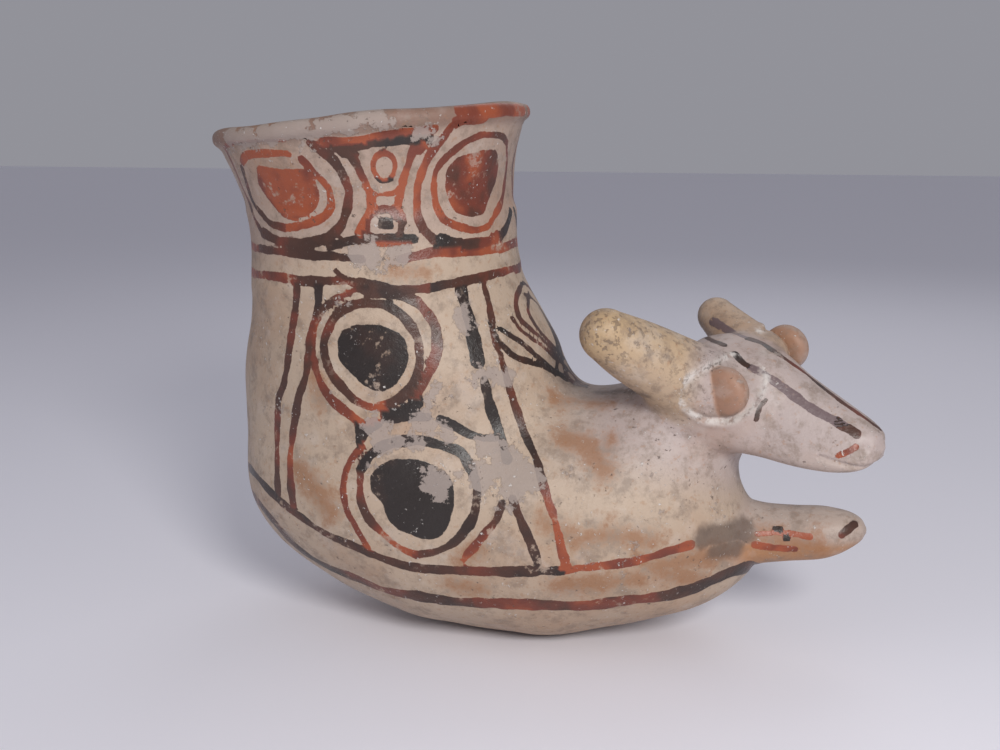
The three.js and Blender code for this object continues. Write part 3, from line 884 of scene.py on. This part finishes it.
CREAM = np.array([0.45, 0.345, 0.26])
PINK_BUFF = np.array([0.37, 0.27, 0.225])
GREY_BUFF = np.array([0.42, 0.345, 0.325])
OCHRE = np.array([0.45, 0.31, 0.17])
ORANGE = np.array([0.38, 0.19, 0.09])
PELLET_RED = np.array([0.33, 0.185, 0.125])
RIM_BROWN = np.array([0.20, 0.11, 0.08])
CLAY = np.array([0.36, 0.22, 0.13])


def base_colour(p, f, hollow):
    """The slip's colour, from a few that run into each other. Heights and distances here are in mm."""
    colour = np.broadcast_to(CREAM, p.shape).copy()

    def towards(target, share):
        colour[:] = colour + (target - colour) * np.clip(share, 0, 1)[:, None]

    x, z = p[:, 0], p[:, 2]
    height, out = collar_place(p)
    towards(PINK_BUFF, smooth_step(-6, 10, height) * by_collar(p, out) * 0.75)
    towards(RIM_BROWN, smooth_step(37, 41.5, height) * by_collar(p, out) * 0.85)
    towards(GREY_BUFF, smooth_step(60, 95, x) * smooth_step(60, 84, z))
    towards(GREY_BUFF, smooth_step(8, -4, f["neck"]))
    leg = smooth_step(6, -1, f["forelegs"]) * smooth_step(118, 130, x)
    towards(GREY_BUFF, leg * 0.6)
    towards(ORANGE, leg * smooth_step(46, 40, z) * smooth_step(10, 3, np.abs(z - 37)))
    towards(OCHRE, smooth_step(3, -1.5, f["ear_right"]) * smooth_step(122, 112, x))
    towards(OCHRE, smooth_step(3, -1.5, f["ear_left"]) * 0.8)
    towards(PELLET_RED, smooth_step(1.2, 0.0, np.minimum(f["eye_right"], f["eye_left"])))
    towards(CLAY, hollow)
    return colour


# Lime and a painted highlight round the pellets, speckles on the ears and bare clay inside: where each
# starts and is full, in mm
LIME_AND_HIGHLIGHT_RADIUS, LIME_AND_HIGHLIGHT_WIDTH, LIME_AND_HIGHLIGHT_REACH = 9.8, 1.2, 16
SPECKLES_START, SPECKLES_FULL, SPECKLES_LEAN = 95, 108, 0.35
BARE_START, BARE_FULL, BARE_TOP = 1.6, 0.6, 40


def lime_and_highlight_rings(p):
    """Pale lime left in the groove round each pellet, with a painted highlight on the same ring."""
    lime = np.zeros(len(p))
    for centre in (RIGHT_EYE, LEFT_EYE):
        close = np.linalg.norm(p - centre, axis=1) < LIME_AND_HIGHLIGHT_REACH
        lime = np.maximum(lime, close * swell(pellet_place(p, centre)[0], LIME_AND_HIGHLIGHT_RADIUS, LIME_AND_HIGHLIGHT_WIDTH))
    return lime


def ear_speckles(p, f):
    """Where the ears are speckled: their upper parts, a little lower on the near one."""
    ear = smooth_step(1, -1, np.minimum(f["ear_right"], f["ear_left"]))
    return ear * smooth_step(SPECKLES_START, SPECKLES_FULL, p[:, 2] - SPECKLES_LEAN * p[:, 1])


# Building the meshes

def halved(points, skin, quads):
    """Each four-sided face becomes four, on the same surface."""
    edges = np.concatenate([quads[:, [0, 1]], quads[:, [1, 2]], quads[:, [2, 3]], quads[:, [3, 0]]])
    unique, where = np.unique(np.sort(edges, axis=1), axis=0, return_inverse=True)
    where = where.reshape(-1)
    n, m, q = len(points), len(unique), len(quads)
    new_points = np.concatenate([points, points[unique].mean(axis=1), points[quads].mean(axis=1)])
    new_skin = np.concatenate([skin, skin[unique].all(axis=1), skin[quads].all(axis=1)])
    e = [n + where[k * q:(k + 1) * q] for k in range(4)]
    c = n + m + np.arange(q)
    new_quads = np.concatenate([
        np.stack([quads[:, 0], e[0], c, e[3]], axis=1),
        np.stack([e[0], quads[:, 1], e[1], c], axis=1),
        np.stack([c, e[1], quads[:, 2], e[2]], axis=1),
        np.stack([e[3], c, e[2], quads[:, 3]], axis=1),
    ])
    move = (np.arange(len(new_points)) >= n) & new_skin
    new_points[move] = settle(whole, new_points[move], rounds=3)
    return new_points, new_skin, new_quads


def surface_layers(p, paint, marks):
    """What the material reads at each point: the slip's colour, and distances to paint and marks."""
    f = parts(p)
    hollow = smooth_step(BARE_START, BARE_FULL, hollow_field(p)) * (collar_place(p)[0] < BARE_TOP)
    outside = hollow < 0.5
    places, halves, tones = paint
    tone = np.zeros(len(p))
    distance, found = distance_from((places, halves), p, outside)
    tone[outside] = tones[found]
    layers = {"slip": base_colour(p, f, hollow), "paint": distance, "tone": tone}
    for name, mark in marks.items():
        layers[name] = distance_from(mark, p, outside)[0]
    # A pale ring round the pellets: lime with a painted highlight
    layers["lime"] = lime_and_highlight_rings(p)
    layers["speckled"] = ear_speckles(p, f)
    return layers


def add_layer(mesh, name, values):
    """Keeps one value or one colour for each point of the mesh."""
    if values.ndim == 2:
        layer = mesh.attributes.new(name, "FLOAT_COLOR", "POINT")
        rgba = np.concatenate([values, np.ones((len(values), 1))], axis=1)
        layer.data.foreach_set("color", rgba.astype(np.float32).ravel())
    else:
        layer = mesh.attributes.new(name, "FLOAT", "POINT")
        layer.data.foreach_set("value", values.astype(np.float32))


def add_object(name, data):
    item = bpy.data.objects.new(name, data)
    bpy.context.scene.collection.objects.link(item)
    return item


def skin_mesh(name, p, faces, layers):
    """A smooth mesh in the frame, in metres, shaded by the slope of the field."""
    normals = gradient(whole, p, 0.3)
    normals /= np.maximum(np.linalg.norm(normals, axis=1, keepdims=True), TINY)
    mesh = bpy.data.meshes.new(name + "_skin")
    in_frame = (p - np.array([SHAFT_SET_BACK, 0, 0])) * MM
    mesh.from_pydata(in_frame.tolist(), [], faces.tolist())
    mesh.polygons.foreach_set("use_smooth", np.ones(len(faces), bool))
    for layer, values in layers.items():
        add_layer(mesh, layer, values)
    mesh.normals_split_custom_set_from_vertices(normals.tolist())
    mesh.update()
    return mesh


def make_pieces(material):
    """Every piece of the pot, each in the place of its CAD node."""
    points, skin, quads, sides = build_skin()
    paint = paint_points()
    marks = {name: mark_points(rows) for name, rows in MARKS.items()}
    for name, n in LABEL.items():
        mine = np.concatenate([quads[sides[:, 0] == n], quads[sides[:, 1] == n][:, ::-1]])
        used, local = np.unique(mine, return_inverse=True)
        p, on_skin, faces = points[used], skin[used], local.reshape(mine.shape)
        if name in FINE:
            p, on_skin, faces = halved(p, on_skin, faces)
        mesh = skin_mesh(name, p, faces, surface_layers(p, paint, marks))
        mesh.materials.append(material)
        piece = add_object(name + "_piece", mesh)
        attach(piece, "root")
        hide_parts(name)


# The fired clay, its slip, paint and crusts

class Nodes:
    """Short names for building a node tree."""

    MIX_SHARE, MIX_FIRST, MIX_SECOND, MIX_RESULT = 0, 6, 7, 2

    def __init__(self, material):
        material.use_nodes = True
        self.tree = material.node_tree
        self.tree.nodes.clear()

    def add(self, kind, inputs=None, **settings):
        """A new node, with its settings and with what its inputs hold, by their names or numbers."""
        node = self.tree.nodes.new(kind)
        for name, value in settings.items():
            setattr(node, name, value)
        for name, value in (inputs or {}).items():
            self.set(node.inputs[name], value)
        return node

    def set(self, socket, value):
        """Links a socket, or sets a colour or a number on it."""
        if isinstance(value, bpy.types.NodeSocket):
            self.tree.links.new(value, socket)
        elif socket.type == "RGBA":
            socket.default_value = (*value, 1)
        else:
            socket.default_value = value

    def math(self, operation, a, b=0.0, c=0.0):
        return self.add("ShaderNodeMath", {0: a, 1: b, 2: c}, operation=operation).outputs[0]

    def times(self, a, b):
        return self.math("MULTIPLY", a, b)

    def larger(self, a, b):
        return self.math("MAXIMUM", a, b)

    def pushed(self, value, noise, reach, middle=0.5):
        """A value moved up and down by a noise."""
        return self.math("MULTIPLY_ADD", self.math("SUBTRACT", noise, middle), reach, value)

    def mix(self, share, a, b):
        inputs = {self.MIX_SHARE: share, self.MIX_FIRST: a, self.MIX_SECOND: b}
        return self.add("ShaderNodeMix", inputs, data_type="RGBA").outputs[self.MIX_RESULT]

    def ramp(self, value, low, high, start=0.0, end=1.0):
        """From start at low to end at high, smoothly."""
        inputs = {"Value": value, "From Min": low, "From Max": high, "To Min": start, "To Max": end}
        return self.add("ShaderNodeMapRange", inputs, interpolation_type="SMOOTHSTEP").outputs[0]

    def noise(self, at, scale, detail, rough):
        inputs = {"Vector": at, "Scale": scale, "Detail": detail, "Roughness": rough}
        return self.add("ShaderNodeTexNoise", inputs).outputs[0]

    def value_of(self, name):
        return self.add("ShaderNodeAttribute", attribute_name=name).outputs["Fac"]

    def colour_of(self, name):
        return self.add("ShaderNodeAttribute", attribute_name=name).outputs["Color"]

    def surface(self, inputs):
        """The shader and the output that it goes to."""
        shader = self.add("ShaderNodeBsdfPrincipled", inputs)
        self.add("ShaderNodeOutputMaterial", {"Surface": shader.outputs[0]})


PAINT_BLACK = (0.022, 0.016, 0.014)
PAINT_BROWN = (0.070, 0.030, 0.020)
PAINT_PURPLE = (0.150, 0.105, 0.108)
PAINT_OXBLOOD = (0.16, 0.038, 0.022)
PAINT_RED = (0.30, 0.070, 0.028)
STAIN = (0.33, 0.17, 0.085)
GRIME = (0.20, 0.145, 0.11)
ORANGE_STAIN = (0.27, 0.12, 0.05)
GREY_PINK = (0.34, 0.28, 0.25)
# Pale lime, also the colour of the painted highlight round the pellets
LIME_AND_HIGHLIGHT = (0.62, 0.58, 0.55)
# Soot, also used for the painted shadow under the near ear and for dark pits
SOOT_AND_SHADE = (0.10, 0.07, 0.055)

# Noise patterns: repeats in a metre, octaves of detail, and roughness
PATTERNS = {
    "broad": (22, 3, 0.55),
    "middle": (90, 5, 0.6),
    "fine": (420, 5, 0.65),
    "grain": (1500, 3, 0.6),
    "grime": (150, 8, 0.72),
    "drift": (46, 3, 0.55),
    "ragged": (130, 6, 0.7),
    "flakes": (60, 8, 0.68),
    "specks": (700, 4, 0.6),
    "speck_fields": (60, 3, 0.55),
    "pits": (620, 4, 0.6),
    "pit_fields": (48, 2, 0.55),
    "ear_dots": (480, 5, 0.65),
}

# Bump: strength, and the depth in metres that a height of one stands for
BUMP_STRENGTH = 0.7
BUMP_DEPTH = 0.0009

# Roughness of bare slip and of paint, what crust adds and how much the fine noise moves it, and the gloss
ROUGH_SLIP = 0.52
ROUGH_PAINT = 0.36
ROUGH_CRUST = 0.35
ROUGH_UNEVEN = 0.3
GLOSS = 0.45


def slip_layer(n, noise):
    """The slip with its stains, grime and pale bloom."""
    slip = n.colour_of("slip")
    slip = n.mix(n.ramp(noise["broad"], 0.48, 0.68, end=0.35), slip, STAIN)
    slip = n.mix(n.ramp(noise["grime"], 0.46, 0.66, end=0.6), slip, GRIME)
    pale = n.mix(0.5, slip, LIME_AND_HIGHLIGHT)
    slip = n.mix(n.ramp(noise["middle"], 0.52, 0.7, end=0.35), slip, pale)
    slip = n.mix(n.ramp(noise["fine"], 0.56, 0.7, end=0.4), slip, STAIN)
    stained = n.pushed(n.value_of("stain"), noise["grime"], 26.0)
    return n.mix(n.ramp(stained, 4.0, -4.0, end=0.75), slip, ORANGE_STAIN)


def paint_cover(n, noise):
    """Where paint covers the slip: ragged at the edge of a stroke and worn through in places."""
    edge = n.pushed(n.value_of("paint"), noise["middle"], 1.5)
    edge = n.pushed(edge, noise["fine"], 1.0)
    covered = n.ramp(edge, 0.14, -0.12)
    worn = n.math("ADD", n.times(noise["middle"], 0.55), n.times(noise["fine"], 0.45))
    worn = n.times(n.ramp(worn, 0.56, 0.62), n.ramp(noise["broad"], 0.4, 0.62, start=0.10, end=0.75))
    return n.times(covered, n.math("SUBTRACT", 1.0, worn))


def pigment_layer(n, noise):
    """The paint's colour along its tone, from black through brown and oxblood to red."""
    tone = n.value_of("tone")
    drift = n.ramp(noise["drift"], 0.35, 0.68, start=-0.30, end=0.42)
    warm = n.math("MULTIPLY_ADD", drift, n.ramp(tone, BLACK, 0.5, start=0.25), tone)
    pigment = n.mix(n.ramp(warm, BLACK, BROWN), PAINT_BLACK, PAINT_BROWN)
    pigment = n.mix(n.ramp(warm, BROWN, OXBLOOD), pigment, PAINT_OXBLOOD)
    pigment = n.mix(n.ramp(warm, OXBLOOD, RED), pigment, PAINT_RED)
    return n.mix(n.ramp(tone, -0.4, -0.8), pigment, PAINT_PURPLE)


def crust_cover(n, noise):
    """Grey crusts where they were seen, and small flaked spots all over."""
    spots = n.ramp(n.pushed(n.value_of("patch"), noise["ragged"], 26.0, middle=0.52), 0.5, -0.5)
    return n.larger(n.times(spots, 0.8), n.times(n.ramp(noise["flakes"], 0.63, 0.655), 0.7))


def speck_and_highlight_cover(n, noise):
    """Pale lime specks, and the lime and painted highlight round the pellets."""
    specks = n.times(n.ramp(noise["specks"], 0.64, 0.68), n.ramp(noise["speck_fields"], 0.42, 0.6))
    return n.larger(specks, n.times(n.value_of("lime"), n.ramp(noise["fine"], 0.35, 0.55)))


def pit_cover(n, noise):
    """Dark pits, and the dark dots on the ears."""
    pits = n.times(n.ramp(noise["pits"], 0.35, 0.31), n.ramp(noise["pit_fields"], 0.42, 0.6))
    ear_dots = n.times(n.ramp(noise["ear_dots"], 0.55, 0.60), n.value_of("speckled"))
    return n.larger(pits, n.times(ear_dots, 0.75))


def fired_clay():
    """The one material of the pot."""
    material = bpy.data.materials.new("fired_painted_clay")
    n = Nodes(material)
    at = n.add("ShaderNodeTexCoord").outputs["Object"]
    noise = {name: n.noise(at, *row) for name, row in PATTERNS.items()}
    covered = paint_cover(n, noise)
    crust = crust_cover(n, noise)
    specks = speck_and_highlight_cover(n, noise)
    pits = pit_cover(n, noise)

    colour = n.mix(covered, slip_layer(n, noise), pigment_layer(n, noise))
    colour = n.mix(crust, colour, GREY_PINK)
    # Soot, and the painted shadow under the near ear
    soot_and_shade_distance = n.pushed(n.value_of("soot_and_shade"), noise["middle"], 9.0)
    colour = n.mix(n.ramp(soot_and_shade_distance, 2.0, -2.0, end=0.75), colour, SOOT_AND_SHADE)
    # Lime specks, and the lime with a painted highlight round the pellets
    colour = n.mix(n.times(specks, 0.85), colour, LIME_AND_HIGHLIGHT)
    colour = n.mix(n.times(pits, 0.8), colour, SOOT_AND_SHADE)

    height = n.times(covered, 0.10)
    rises = [(crust, 0.35), (specks, 0.30), (pits, -0.30)]
    rises += [(noise["fine"], 0.35), (noise["grain"], 0.08), (noise["middle"], 0.5)]
    for cover, rise in rises:
        height = n.math("MULTIPLY_ADD", cover, rise, height)
    bump = n.add("ShaderNodeBump", {"Strength": BUMP_STRENGTH, "Distance": BUMP_DEPTH, "Height": height})

    rough = n.ramp(covered, 0, 1, start=ROUGH_SLIP, end=ROUGH_PAINT)
    rough = n.math("MULTIPLY_ADD", n.larger(crust, specks), ROUGH_CRUST, rough)
    rough = n.pushed(rough, noise["fine"], ROUGH_UNEVEN)
    n.surface({
        "Base Color": colour,
        "Roughness": rough,
        "Normal": bump.outputs[0],
        "Specular IOR Level": GLOSS,
    })
    return material


# Floor, lamps and camera, in metres

FLOOR_SIDE = 8
FLOOR_COLOUR = (0.86, 0.85, 0.92)
FLOOR_ROUGHNESS = 0.7
WORLD_COLOUR = (0.90, 0.90, 1.0)
WORLD_STRENGTH = 0.32
CLIP_START = 0.01

# Name, place, what it points at, width across, power in watts, colour
LAMPS = [
    ("key", (0.34, -0.58, 0.42), (0.03, 0.0, 0.07), 0.22, 3.9, (1.0, 0.98, 0.95)),
    ("fill", (-0.55, -0.30, 0.45), (0.0, 0.0, 0.09), 0.6, 0.5, (0.95, 0.97, 1.0)),
    ("back", (0.1, 0.7, 0.7), (0.0, 0.0, 0.1), 0.6, 0.9, (1.0, 1.0, 1.0)),
]


def floor():
    material = bpy.data.materials.new("pale_floor")
    Nodes(material).surface({"Base Color": FLOOR_COLOUR, "Roughness": FLOOR_ROUGHNESS})
    bpy.ops.mesh.primitive_plane_add(size=FLOOR_SIDE, location=(0, 0, 0))
    plane = bpy.context.object
    plane.name = "floor"
    plane.data.materials.append(material)


def lamp(name, place, target, width, power, colour):
    data = bpy.data.lights.new(name, "AREA")
    data.shape = "DISK"
    data.size = width
    data.energy = power
    data.color = colour
    light = add_object(name, data)
    light.location = place
    light.rotation_euler = (Vector(target) - Vector(place)).to_track_quat("-Z", "Y").to_euler()


def world_light():
    world = bpy.data.worlds.new("studio")
    bpy.context.scene.world = world
    world.use_nodes = True
    background = world.node_tree.nodes["Background"]
    background.inputs["Color"].default_value = (*WORLD_COLOUR, 1)
    background.inputs["Strength"].default_value = WORLD_STRENGTH


def camera():
    data = bpy.data.cameras.new("photo_camera")
    data.sensor_width = SENSOR
    data.lens = LENS
    data.clip_start = CLIP_START
    cam = add_object("photo_camera", data)
    cam.location = (CAMERA_AT - np.array([SHAFT_SET_BACK, 0, 0])) * MM
    cam.rotation_euler = (math.pi / 2 - CAMERA_NOD, 0, CAMERA_TURN)
    bpy.context.scene.camera = cam


camera()
world_light()
for row in LAMPS:
    lamp(*row)
floor()
make_pieces(fired_clay())

bpy.context.scene.view_settings.view_transform = "Standard"
bpy.context.view_layer.update()
